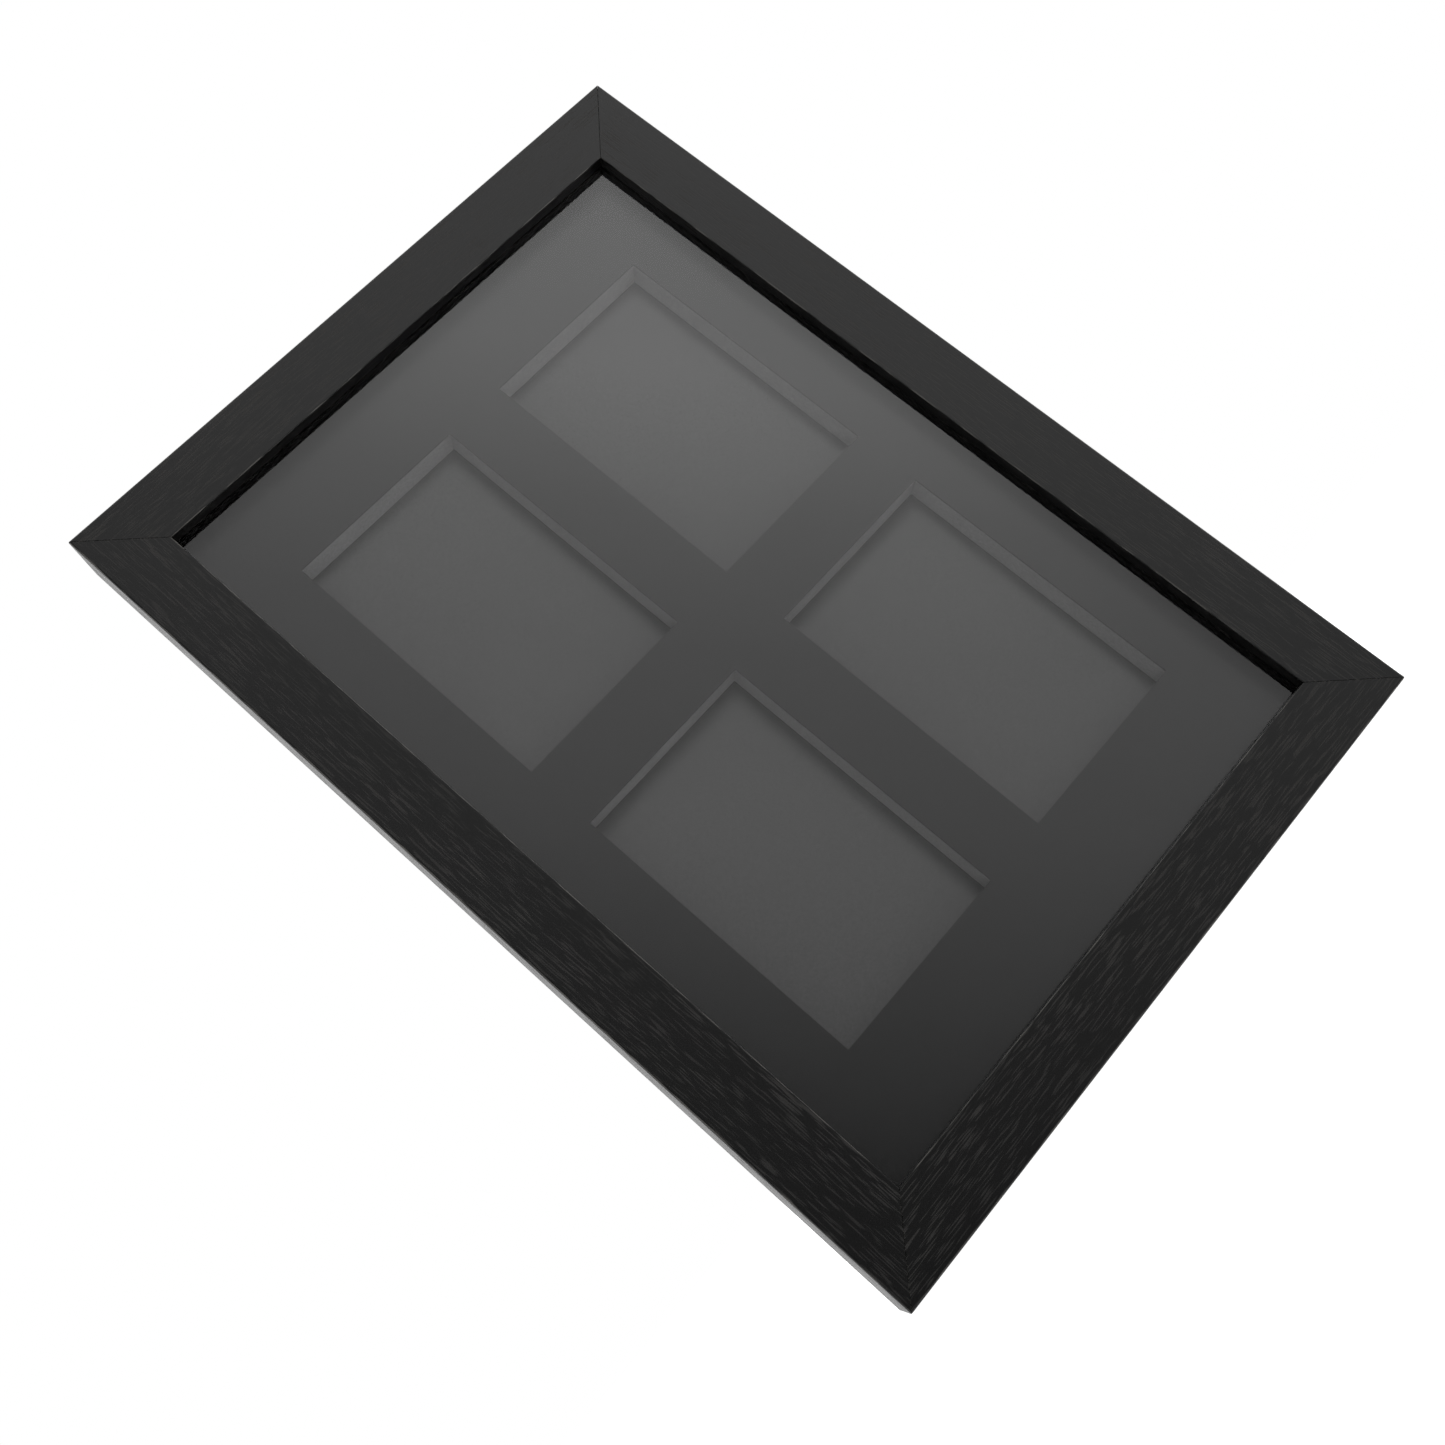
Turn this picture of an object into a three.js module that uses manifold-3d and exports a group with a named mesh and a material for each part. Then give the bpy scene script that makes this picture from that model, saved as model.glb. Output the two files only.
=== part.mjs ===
// Shadow box for four collectibles: a black-stained wooden frame with clear glazing, a cut foam insert
// with four windows, and a back board held by turn buttons.
// Millimetres. The box stands on its short lower rail: +X right, +Y to the back, +Z up.
// The origin is under the middle of the box. Depths are measured from the front face of the wood.

import * as THREE from 'three';
import { mergeVertices } from 'three/addons/utils/BufferGeometryUtils.js';
import Module from 'manifold-3d';

const wasm = await Module();
wasm.setup();

// ---- Driving dimensions ----------------------------------------------------------------------------

const frameWidth = 300;
const frameHeight = 420;

const railWidth = 28;
const railDepth = 30;
const lipDepth = 5.5;
const rabbetWidth = 6;
const arrisRadius = 0.8;
const mitreGap = 0.3;

const pieceGap = 0.3;          // between two pieces that lie against each other
const panelClearance = 0.5;    // between the edge of a panel and the rabbet around it

const glazingThickness = 2;
const spacerThickness = 2.5;
const spacerWidth = 5;
const facePaperThickness = 0.5;
const floorPadThickness = 3.3;
const backBoardThickness = 3;
const backBoardRecess = 0.2;   // from the backs of the rails to the back of the board

const windowWidth = 82;
const windowHeight = 125;
const windowColumns = 2;
const windowRows = 2;
const windowGapX = 29;
const windowGapZ = 30;

const vNailSheet = 0.8;
const vNailHeight = 10;
const vNailFirstInset = 4;     // from both outer faces to the bend of the outer nail
const vNailFreeWood = 2;       // from the tip of the inner nail to the rabbet
const vNailRecess = 0.2;

const buttonReach = 20;
const buttonWidth = 12;
const buttonSheet = 1;
const shortRailButtonInset = 75;   // from the end of a rail to the pivot of its nearer button
const longRailButtonInset = 105;

const screwShankRadius = 1.5;
const screwLength = 14;
const screwHeadRadius = 3.5;
const screwHeadHeight = 1.4;
const shankClearance = 0.3;

const hangerLength = 45;
const hangerWidth = 11;
const hangerSheet = 0.7;
const hangerRise = 1.1;
const hangerFoot = 8;
const hangerTooth = 2;
const hangerToothCount = 9;

const nailShankRadius = 0.8;
const nailLength = 10;
const nailHeadRadius = 1.9;
const nailHeadHeight = 0.6;

const bumperRadius = 5;
const bumperHeight = 2.7;
const bumperInset = 36;        // from the end of a side rail
const bumperEdge = 1.2;

const roundSteps = 20;
const arrisSteps = 3;

// ---- Values that follow ----------------------------------------------------------------------------

const backWidth = railWidth - rabbetWidth;     // wood left beside the rabbet
const backCentre = backWidth / 2;
const vNailLeg = (backWidth - vNailFirstInset - vNailFreeWood) / 2;   // the two nails lie end to end
const vNailInsets = { outer: vNailFirstInset, inner: vNailFirstInset + vNailLeg };
const overallDepth = railDepth + pieceGap + bumperHeight;
const frontY = -overallDepth / 2;
const railBackY = frontY + railDepth;
const middleZ = frameHeight / 2;

const panelWidth = frameWidth - 2 * (backWidth + panelClearance);
const panelHeight = frameHeight - 2 * (backWidth + panelClearance);

const glazingDepth = lipDepth + pieceGap;
const spacerDepth = glazingDepth + glazingThickness + pieceGap;
const facePaperDepth = spacerDepth + spacerThickness + pieceGap;
const coreDepth = facePaperDepth + facePaperThickness + pieceGap;
const backBoardDepth = railDepth - backBoardRecess - backBoardThickness;
const floorPadDepth = backBoardDepth - pieceGap - floorPadThickness;
const coreThickness = floorPadDepth - pieceGap - coreDepth;     // the core fills what the other layers leave

// ---- Finishes --------------------------------------------------------------------------------------

const finish = (color, roughness, metalness = 0, opacity = 1) =>
  new THREE.MeshStandardMaterial({ color, roughness, metalness, opacity, transparent: opacity < 1 });

const blackWood = finish(0x1d1c1c, 0.45);
const clearAcrylic = finish(0xf4f7f8, 0.05, 0, 0.15);
const blackPaper = finish(0x151515, 0.85);
const greyFoam = finish(0x2b2b2b, 0.9);
const greyFelt = finish(0x262626, 0.95);
const blackStrip = finish(0x171717, 0.8);
const brownBoard = finish(0x8c6a48, 0.8);
const blackSteel = finish(0x26272a, 0.4, 0.9);
const zincSteel = finish(0xb9bcc0, 0.35, 1);
const brassedSteel = finish(0xb89a5e, 0.35, 1);
const greyRubber = finish(0x2c2c2c, 0.7);

// ---- Solids ----------------------------------------------------------------------------------------

function solidOf(geometry) {
  const bare = geometry.clone();
  bare.deleteAttribute('normal');
  bare.deleteAttribute('uv');
  const merged = mergeVertices(bare, 1e-5);
  return new wasm.Manifold(new wasm.Mesh({
    numProp: 3,
    vertProperties: new Float32Array(merged.attributes.position.array),
    triVerts: new Uint32Array(merged.index.array),
  }));
}

function geometryOf(solid) {
  const mesh = solid.getMesh();
  const geometry = new THREE.BufferGeometry();
  geometry.setAttribute('position', new THREE.BufferAttribute(new Float32Array(mesh.vertProperties), 3));
  geometry.setIndex(new THREE.BufferAttribute(new Uint32Array(mesh.triVerts), 1));
  return geometry;
}

function cut(geometry, cutters) {
  let solid = solidOf(geometry);
  for (const cutter of cutters) {
    solid = solid.subtract(solidOf(cutter));
  }
  return geometryOf(solid);
}

// A flat outline in X and Z, with its thickness going back along +Y from y = 0.
function plate(outline, thickness) {
  const geometry = new THREE.ExtrudeGeometry(outline, {
    depth: thickness, bevelEnabled: false, curveSegments: roundSteps / 2,
  });
  return geometry.rotateX(Math.PI / 2).translate(0, thickness, 0);
}

function rectangle(width, height) {
  const outline = new THREE.Shape();
  outline.moveTo(-width / 2, -height / 2);
  outline.lineTo(width / 2, -height / 2);
  outline.lineTo(width / 2, height / 2);
  outline.lineTo(-width / 2, height / 2);
  outline.closePath();
  return outline;
}

// A turned piece whose axis is Y. The profile lists [radius, y] from the axis and back to it.
function turned(profile) {
  const points = profile.map(([radius, y]) => new THREE.Vector2(radius, y));
  return new THREE.LatheGeometry(points, roundSteps);
}

function pin(radius, fromY, toY) {
  return turned([[0, fromY], [radius, fromY], [radius, toY], [0, toY]]);
}

const model = new THREE.Group();

function add(name, geometry, material, x = 0, y = 0, z = 0, turn = 0, parent = model) {
  const mesh = new THREE.Mesh(geometry, material);
  mesh.name = name;
  mesh.position.set(x, y, z);
  mesh.rotation.y = turn;
  parent.add(mesh);
  return mesh;
}

// ---- Sides of the frame ----------------------------------------------------------------------------

// Each side's own frame has its middle at the outer face of the rail: local +X runs along the rail,
// +Y goes back, and +Z points to the middle of the box.
const sides = {
  bottom: { length: frameWidth, buttonInset: shortRailButtonInset, x: 0, z: 0, turn: 0 },
  left: {
    length: frameHeight, buttonInset: longRailButtonInset, x: -frameWidth / 2, z: middleZ, turn: Math.PI / 2,
  },
  top: { length: frameWidth, buttonInset: shortRailButtonInset, x: 0, z: frameHeight, turn: Math.PI },
  right: {
    length: frameHeight, buttonInset: longRailButtonInset, x: frameWidth / 2, z: middleZ, turn: -Math.PI / 2,
  },
};

function sideGroup(side) {
  const group = new THREE.Group();
  group.position.set(side.x, 0, side.z);
  group.rotation.y = side.turn;
  model.add(group);
  return group;
}

// The section of the moulding, in width from the outer face and depth from the front face.
function railSection() {
  const r = arrisRadius;
  const outline = new THREE.Shape();
  outline.moveTo(0, railDepth);
  outline.lineTo(0, r);
  outline.absarc(r, r, r, Math.PI, 1.5 * Math.PI, false);
  outline.lineTo(railWidth - r, 0);
  outline.absarc(railWidth - r, r, r, -Math.PI / 2, 0, false);
  outline.lineTo(railWidth, lipDepth);
  outline.lineTo(backWidth, lipDepth);
  outline.lineTo(backWidth, railDepth);
  outline.closePath();
  return outline;
}

// A length of the moulding with both ends mitred: a point further in lies that much nearer the middle.
function mitredRail(length) {
  const geometry = new THREE.ExtrudeGeometry(railSection(), {
    depth: 1, bevelEnabled: false, curveSegments: arrisSteps,
  });
  const place = geometry.attributes.position;
  const endGap = mitreGap / Math.SQRT2;
  for (let i = 0; i < place.count; i += 1) {
    const width = place.getX(i);
    const end = 1 - 2 * place.getZ(i);
    place.setXYZ(i, end * (length / 2 - width - endGap), frontY + place.getY(i), width);
  }
  return geometry;
}

// The bent outline of a corner nail: both legs leave the bend along the two rails that it holds.
function vNailOutline(margin) {
  const near = -margin;
  const far = vNailLeg + margin;
  const inside = vNailSheet + margin;
  const outline = new THREE.Shape();
  outline.moveTo(near, near);
  outline.lineTo(far, near);
  outline.lineTo(far, inside);
  outline.lineTo(inside, inside);
  outline.lineTo(inside, far);
  outline.lineTo(near, far);
  outline.closePath();
  return outline;
}

const vNailY = railBackY - vNailRecess - vNailHeight;
const slotY = vNailY - pieceGap;

// The slots for the corner nails at both ends of a rail, in the rail's own frame.
function vNailSlots(length) {
  const slots = [];
  const slot = () => plate(vNailOutline(pieceGap), railBackY - slotY + pieceGap);
  for (const inset of Object.values(vNailInsets)) {
    const away = length / 2 - inset;
    slots.push(slot().translate(-away, slotY, inset));
    slots.push(slot().rotateY(-Math.PI / 2).translate(away, slotY, inset));
  }
  return slots;
}

// ---- Fasteners and fittings, each with its seat on the wood at y = 0 ----------------------------------

function turnButtonOutline() {
  const r = buttonWidth / 2;
  const outline = new THREE.Shape();
  outline.absarc(0, 0, r, Math.PI, 2 * Math.PI, false);
  outline.absarc(0, buttonReach - r, r, 0, Math.PI, false);
  outline.closePath();
  const hole = new THREE.Path();
  hole.absarc(0, 0, screwShankRadius + shankClearance, 0, 2 * Math.PI, true);
  outline.holes.push(hole);
  return outline;
}

const buttonScrewSeat = 2 * pieceGap + buttonSheet;

function screw() {
  const tipY = buttonScrewSeat - screwLength;
  return turned([
    [0, tipY], [screwShankRadius, tipY + 2 * screwShankRadius], [screwShankRadius, buttonScrewSeat],
    [screwHeadRadius, buttonScrewSeat], [screwHeadRadius, buttonScrewSeat + screwHeadHeight / 2],
    [screwHeadRadius * 0.6, buttonScrewSeat + screwHeadHeight], [0, buttonScrewSeat + screwHeadHeight],
  ]);
}

const hangerNailSeat = 2 * pieceGap + hangerSheet;

function nail() {
  const tipY = hangerNailSeat - nailLength;
  return turned([
    [0, tipY], [nailShankRadius, tipY + 2 * nailShankRadius], [nailShankRadius, hangerNailSeat],
    [nailHeadRadius, hangerNailSeat], [nailHeadRadius, hangerNailSeat + nailHeadHeight / 2],
    [nailHeadRadius * 0.7, hangerNailSeat + nailHeadHeight], [0, hangerNailSeat + nailHeadHeight],
  ]);
}

function bumper() {
  return turned([
    [0, 0], [bumperRadius, 0], [bumperRadius, bumperHeight - bumperEdge],
    [bumperRadius - bumperEdge / 2, bumperHeight - bumperEdge / 3],
    [bumperRadius - bumperEdge, bumperHeight], [0, bumperHeight],
  ]);
}

const hangerNailX = hangerLength / 2 - hangerFoot / 2;

// The hanger seen from behind: a strip with round ends, two nail holes and teeth along its inner edge.
function hangerOutline() {
  const half = hangerLength / 2;
  const r = hangerWidth / 2;
  const outline = new THREE.Shape();
  outline.moveTo(half - r, -r);
  outline.absarc(half - r, 0, r, -Math.PI / 2, Math.PI / 2, false);
  const pitch = (hangerLength - 2 * hangerFoot - 2 * hangerRise) / hangerToothCount;
  let x = hangerToothCount * pitch / 2;
  outline.lineTo(x, r);
  for (let tooth = 0; tooth < hangerToothCount; tooth += 1) {
    outline.lineTo(x - pitch / 2, r - hangerTooth);
    x -= pitch;
    outline.lineTo(x, r);
  }
  outline.lineTo(-half + r, r);
  outline.absarc(-half + r, 0, r, Math.PI / 2, 1.5 * Math.PI, false);
  outline.closePath();
  for (const side of [-1, 1]) {
    const hole = new THREE.Path();
    hole.absarc(side * hangerNailX, 0, nailShankRadius + shankClearance, 0, 2 * Math.PI, true);
    outline.holes.push(hole);
  }
  return outline;
}

// The hanger seen from its edge: the two feet lie on the wood, and the toothed middle stands off it.
function hangerProfile() {
  const half = hangerLength / 2 + 1;
  const foot = hangerLength / 2 - hangerFoot;
  const raised = foot - hangerRise;
  const outline = new THREE.Shape();
  outline.moveTo(-half, 0);
  outline.lineTo(-foot, 0);
  outline.lineTo(-raised, hangerRise);
  outline.lineTo(raised, hangerRise);
  outline.lineTo(foot, 0);
  outline.lineTo(half, 0);
  outline.lineTo(half, hangerSheet);
  outline.lineTo(foot, hangerSheet);
  outline.lineTo(raised, hangerRise + hangerSheet);
  outline.lineTo(-raised, hangerRise + hangerSheet);
  outline.lineTo(-foot, hangerSheet);
  outline.lineTo(-half, hangerSheet);
  outline.closePath();
  return outline;
}

function hanger() {
  const flat = plate(hangerOutline(), hangerRise + hangerSheet);
  const bent = new THREE.ExtrudeGeometry(hangerProfile(), { depth: 2 * hangerWidth, bevelEnabled: false });
  bent.translate(0, 0, -hangerWidth);
  return geometryOf(solidOf(flat).intersect(solidOf(bent)));
}

// ---- What each side carries ---------------------------------------------------------------------------

const hangerSides = ['top', 'right'];
const bumperSides = ['left', 'right'];

for (const [name, side] of Object.entries(sides)) {
  const group = sideGroup(side);
  const half = side.length / 2;
  const buttonPlaces = { a: half - side.buttonInset, b: side.buttonInset - half };
  const cutters = vNailSlots(side.length);
  const pilot = (radius, x, length, seat) => cutters.push(
    pin(radius + shankClearance, seat - length - pieceGap, 1).translate(x, railBackY, backCentre));

  for (const [place, x] of Object.entries(buttonPlaces)) {
    add(`turn_button_${name}_${place}`, plate(turnButtonOutline(), buttonSheet), blackSteel,
      x, railBackY + pieceGap, backCentre, 0, group);
    add(`turn_button_screw_${name}_${place}`, screw(), zincSteel, x, railBackY, backCentre, 0, group);
    pilot(screwShankRadius, x, screwLength, buttonScrewSeat);
  }

  if (hangerSides.includes(name)) {
    add(`sawtooth_hanger_${name}`, hanger(), brassedSteel, 0, railBackY + pieceGap, backCentre, 0, group);
    for (const [place, x] of Object.entries({ a: hangerNailX, b: -hangerNailX })) {
      add(`hanger_nail_${name}_${place}`, nail(), brassedSteel, x, railBackY, backCentre, 0, group);
      pilot(nailShankRadius, x, nailLength, hangerNailSeat);
    }
  }

  if (bumperSides.includes(name)) {
    for (const [place, x] of Object.entries({ a: half - bumperInset, b: bumperInset - half })) {
      add(`bumper_${name}_${place}`, bumper(), greyRubber, x, railBackY + pieceGap, backCentre, 0, group);
    }
  }

  add(`rail_${name}`, cut(mitredRail(side.length), cutters), blackWood, 0, 0, 0, 0, group);
}

// ---- Corner nails ----------------------------------------------------------------------------------------

const corners = {
  bottom_left: { x: -1, z: 0, turn: 0 },
  top_left: { x: -1, z: 1, turn: Math.PI / 2 },
  top_right: { x: 1, z: 1, turn: Math.PI },
  bottom_right: { x: 1, z: 0, turn: -Math.PI / 2 },
};

for (const [name, corner] of Object.entries(corners)) {
  for (const [place, inset] of Object.entries(vNailInsets)) {
    add(`v_nail_${name}_${place}`, plate(vNailOutline(0), vNailHeight), zincSteel,
      corner.x * (frameWidth / 2 - inset), vNailY,
      corner.z ? frameHeight - inset : inset, corner.turn);
  }
}

// ---- Panels in the rabbet, from the front to the back --------------------------------------------------

function panel(thickness) {
  return plate(rectangle(panelWidth, panelHeight), thickness);
}

// A panel with the windows cut through it, each the same size and evenly spaced about the middle.
function windowedPanel(thickness) {
  const cutters = [];
  const pitchX = windowWidth + windowGapX;
  const pitchZ = windowHeight + windowGapZ;
  for (let column = 0; column < windowColumns; column += 1) {
    for (let row = 0; row < windowRows; row += 1) {
      const x = (column - (windowColumns - 1) / 2) * pitchX;
      const z = (row - (windowRows - 1) / 2) * pitchZ;
      cutters.push(plate(rectangle(windowWidth, windowHeight), 3 * thickness).translate(x, -thickness, z));
    }
  }
  return cut(panel(thickness), cutters);
}

add('glazing', panel(glazingThickness), clearAcrylic, 0, frontY + glazingDepth, middleZ);

const shortSpacer = panelWidth - 2 * (spacerWidth + pieceGap);
const spacerX = (panelWidth - spacerWidth) / 2;
const spacerZ = (panelHeight - spacerWidth) / 2;
for (const [name, spot] of Object.entries({
  left: { width: spacerWidth, height: panelHeight, x: -spacerX, z: 0 },
  right: { width: spacerWidth, height: panelHeight, x: spacerX, z: 0 },
  bottom: { width: shortSpacer, height: spacerWidth, x: 0, z: -spacerZ },
  top: { width: shortSpacer, height: spacerWidth, x: 0, z: spacerZ },
})) {
  add(`spacer_${name}`, plate(rectangle(spot.width, spot.height), spacerThickness), blackStrip,
    spot.x, frontY + spacerDepth, middleZ + spot.z);
}

add('insert_face', windowedPanel(facePaperThickness), blackPaper, 0, frontY + facePaperDepth, middleZ);
add('insert_core', windowedPanel(coreThickness), greyFoam, 0, frontY + coreDepth, middleZ);
add('floor_pad', panel(floorPadThickness), greyFelt, 0, frontY + floorPadDepth, middleZ);
add('back_board', panel(backBoardThickness), brownBoard, 0, frontY + backBoardDepth, middleZ);

export default model;
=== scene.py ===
# %% [markdown]
# # A shadow box on a white ground
# A shadow box is a deep picture frame with a foam insert behind its glazing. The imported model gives
# every piece its place and size, and this lesson gives each piece its finish. All lengths are in
# metres, as Blender's are.

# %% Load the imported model
import math

import bmesh
import bpy
from mathutils import Matrix, Vector


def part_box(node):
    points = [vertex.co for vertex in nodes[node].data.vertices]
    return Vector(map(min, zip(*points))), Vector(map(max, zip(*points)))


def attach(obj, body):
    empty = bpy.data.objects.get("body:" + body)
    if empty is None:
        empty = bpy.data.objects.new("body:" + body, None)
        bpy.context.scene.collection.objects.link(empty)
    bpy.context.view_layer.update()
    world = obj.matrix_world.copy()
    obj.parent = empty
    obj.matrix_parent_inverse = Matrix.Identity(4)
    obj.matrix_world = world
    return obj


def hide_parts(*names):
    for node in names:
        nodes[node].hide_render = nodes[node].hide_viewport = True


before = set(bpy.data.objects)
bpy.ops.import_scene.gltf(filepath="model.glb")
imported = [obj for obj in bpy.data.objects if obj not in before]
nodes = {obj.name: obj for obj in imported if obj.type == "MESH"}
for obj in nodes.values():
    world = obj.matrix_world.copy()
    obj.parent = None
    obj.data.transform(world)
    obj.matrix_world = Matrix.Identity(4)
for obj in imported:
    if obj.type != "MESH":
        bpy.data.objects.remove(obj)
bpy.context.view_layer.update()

MM = 0.001
print("pieces in the frame:", len(nodes))

# %% [markdown]
# The outer faces of the rails are the planes that everything else is measured from. The section of
# the moulding is read from one packed rail: how wide it is at the back, beside the rabbet, and how
# deep the lip in front of it is.

# %% Measure the frame
LEFT, FRONT, LOW = (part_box("rail_left")[0][0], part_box("rail_left")[0][1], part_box("rail_bottom")[0][2])
RIGHT, BACK, HIGH = (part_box("rail_right")[1][0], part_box("rail_left")[1][1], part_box("rail_top")[1][2])
WIDTH, DEPTH, HEIGHT = RIGHT - LEFT, BACK - FRONT, HIGH - LOW
RAIL_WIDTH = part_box("rail_left")[1][0] - LEFT
MIDDLE = Vector(((LEFT + RIGHT) / 2, (FRONT + BACK) / 2, (LOW + HIGH) / 2))

rail_points = [v.co for v in nodes["rail_left"].data.vertices]
BACK_WIDTH = max(p.x for p in rail_points if p.y > BACK - MM) - LEFT
LIP_DEPTH = max(p.y for p in rail_points if p.x > LEFT + RAIL_WIDTH - MM) - FRONT
print(f"moulding {RAIL_WIDTH / MM:.1f} wide, {DEPTH / MM:.1f} deep, lip {LIP_DEPTH / MM:.1f} mm")

# %% [markdown]
# Every finish below is a small node tree. Colours are written as the hex values that a paint chart
# would give, which are sRGB, so they are turned to linear light once, here. One helper adds a node,
# sets its values and links it.

# %% Helpers for materials
def linear(hex_colour, alpha=1.0):
    parts = [int(hex_colour[i:i + 2], 16) / 255 for i in (1, 3, 5)]
    return tuple(p / 12.92 if p <= 0.04045 else ((p + 0.055) / 1.055) ** 2.4 for p in parts) + (alpha,)


def add_node(tree, kind, links=None, **settings):
    """A node of that kind. settings are its own options, links are its inputs: a value or another socket."""
    node = tree.nodes.new(kind)
    for name, value in settings.items():
        setattr(node, name, value)
    for key, value in (links or {}).items():
        socket = node.inputs[key]
        if isinstance(value, bpy.types.NodeSocket):
            tree.links.new(value, socket)
        else:
            socket.default_value = value
    return node


def start_material(name):
    material = bpy.data.materials.new(name)
    material.use_nodes = True
    material.node_tree.nodes.clear()
    return material, material.node_tree


def finish_material(tree, shader):
    add_node(tree, "ShaderNodeOutputMaterial", {"Surface": shader})


def ramp(tree, factor, stops):
    """A colour ramp with its stops given as (position, linear colour)."""
    node = add_node(tree, "ShaderNodeValToRGB", {"Fac": factor})
    elements = node.color_ramp.elements
    while len(elements) < len(stops):
        elements.new(0.5)
    for element, (position, colour) in zip(elements, stops):
        element.position = position
        element.color = colour
    return node.outputs["Color"]


def grey(value):
    return (value, value, value, 1.0)


# %% [markdown]
# The rails are ash, an open-grained wood, stained black and lacquered to a satin. The lacquer lies
# smooth over the dense wood and mirrors the room softly. It sinks into the open pores, which stay
# dull and a little paler, so they show as dark strokes where the room is bright and as pale ones
# where it is dim. A noise stretched along the rail makes the pores, and a broader one gathers them
# into growth rings. The pores are 0.25 mm wide, as real ones are, and about twenty times as long.
# Where an arris was sanded round, the stain is rubbed thin, and the same arrises carry a painted
# highlight: a pale grey, broken into specks, which stands for the round edge catching the light. It
# is strongest on the back edge of the lip, inside the box, where nothing rubs and it is painted
# highlight alone. So each rail carries an attribute that is above 0 along its arrises and 0 on its
# flats.

# %% Black-stained ash
PORE_WIDTH = 0.25 * MM
PORE_STRETCH = 20
RING_WIDTH = 6 * MM
WANDER = 2 * MM
DRIFT_PER_METRE = 7.0
PORE_DEPTH = 0.06 * MM
PORE_DULLNESS = 0.42


def black_ash(name, along):
    """The stained wood with its grain along local axis number `along` of the object: 0 is X and 2 is Z."""
    material, tree = start_material(name)
    place = add_node(tree, "ShaderNodeTexCoord").outputs["Object"]
    stretch = [1.0, 1.0, 1.0]
    stretch[along] = 1 / PORE_STRETCH
    drift = add_node(tree, "ShaderNodeTexNoise", {
        "Vector": place, "Scale": DRIFT_PER_METRE, "Detail": 1.0}).outputs["Color"]
    centred = add_node(tree, "ShaderNodeVectorMath", {
        0: drift, 1: (0.5, 0.5, 0.5)}, operation="SUBTRACT").outputs[0]
    wander = add_node(tree, "ShaderNodeVectorMath", {0: centred, 1: (WANDER, WANDER, WANDER), 2: place},
                      operation="MULTIPLY_ADD").outputs[0]
    grain_place = add_node(tree, "ShaderNodeMapping", {"Vector": wander, "Scale": stretch}).outputs[0]
    lines = add_node(tree, "ShaderNodeTexNoise", {
        "Vector": grain_place, "Scale": 0.5 / PORE_WIDTH, "Detail": 1.0, "Roughness": 0.5}).outputs["Fac"]
    rings = add_node(tree, "ShaderNodeTexNoise", {
        "Vector": grain_place, "Scale": 0.5 / RING_WIDTH, "Detail": 1.5}).outputs["Fac"]
    pores = add_node(tree, "ShaderNodeMapRange", {
        "Value": lines, "From Min": 0.55, "From Max": 0.64}, interpolation_type="SMOOTHSTEP").outputs[0]
    open_rings = add_node(tree, "ShaderNodeMapRange", {
        "Value": rings, "From Min": 0.35, "From Max": 0.65, "To Min": 0.5},
        interpolation_type="SMOOTHSTEP").outputs[0]
    grain = add_node(tree, "ShaderNodeMath", {0: pores, 1: open_rings}, operation="MULTIPLY").outputs[0]
    stained = add_node(tree, "ShaderNodeMix", {
        "Factor": grain, 6: linear("#101010"), 7: linear("#262524")}, data_type="RGBA").outputs[2]
    # Painted highlight and wear: a pale grey laid along the arrises and broken into specks, partly stain
    # rubbed thin and partly a painted highlight of the round edges.
    arris = add_node(tree, "ShaderNodeAttribute", attribute_name="arris").outputs["Fac"]
    edge_specks = add_node(tree, "ShaderNodeMapRange", {
        "Value": lines, "From Min": 0.42, "From Max": 0.62}, interpolation_type="SMOOTHSTEP").outputs[0]
    edge_wear_and_highlight = add_node(tree, "ShaderNodeMath", {
        0: arris, 1: edge_specks}, operation="MULTIPLY", use_clamp=True).outputs[0]
    colour = add_node(tree, "ShaderNodeMix", {
        "Factor": edge_wear_and_highlight, 6: stained, 7: linear("#6b6965")}, data_type="RGBA").outputs[2]
    satin = add_node(tree, "ShaderNodeMapRange", {"Value": rings, "To Min": 0.27, "To Max": 0.36}).outputs[0]
    rough = add_node(tree, "ShaderNodeMath", {
        0: grain, 1: PORE_DULLNESS, 2: satin}, operation="MULTIPLY_ADD").outputs[0]
    sunk = add_node(tree, "ShaderNodeMath", {0: 1.0, 1: grain}, operation="SUBTRACT").outputs[0]
    bump = add_node(tree, "ShaderNodeBump", {"Height": sunk, "Strength": 0.4, "Distance": PORE_DEPTH})
    wood = add_node(tree, "ShaderNodeBsdfPrincipled", {
        "Base Color": colour, "Roughness": rough, "IOR": 1.42, "Normal": bump.outputs[0]})
    finish_material(tree, wood.outputs[0])
    return material


ASH_UPRIGHT = black_ash("black ash, grain upright", 2)
ASH_ACROSS = black_ash("black ash, grain across", 0)

# %% [markdown]
# Each rail is one length of moulding with both ends cut at 45 degrees. A point that lies further in
# ends that much nearer the middle, so the mitre needs no saw: it comes from the section itself. The
# arrises are rounded by hand sanding, and the very edge of each mitre is eased and carries a pale
# painted highlight, which together make the joint show as a fine line.

# %% Rails
ARRIS = 0.8 * MM
SMALL_ARRIS = 0.35 * MM
ARC_STEPS = 5
LEAD_IN = 0.25 * MM
MITRE_GAP = 0.05 * MM
EASE = 0.15 * MM


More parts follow.
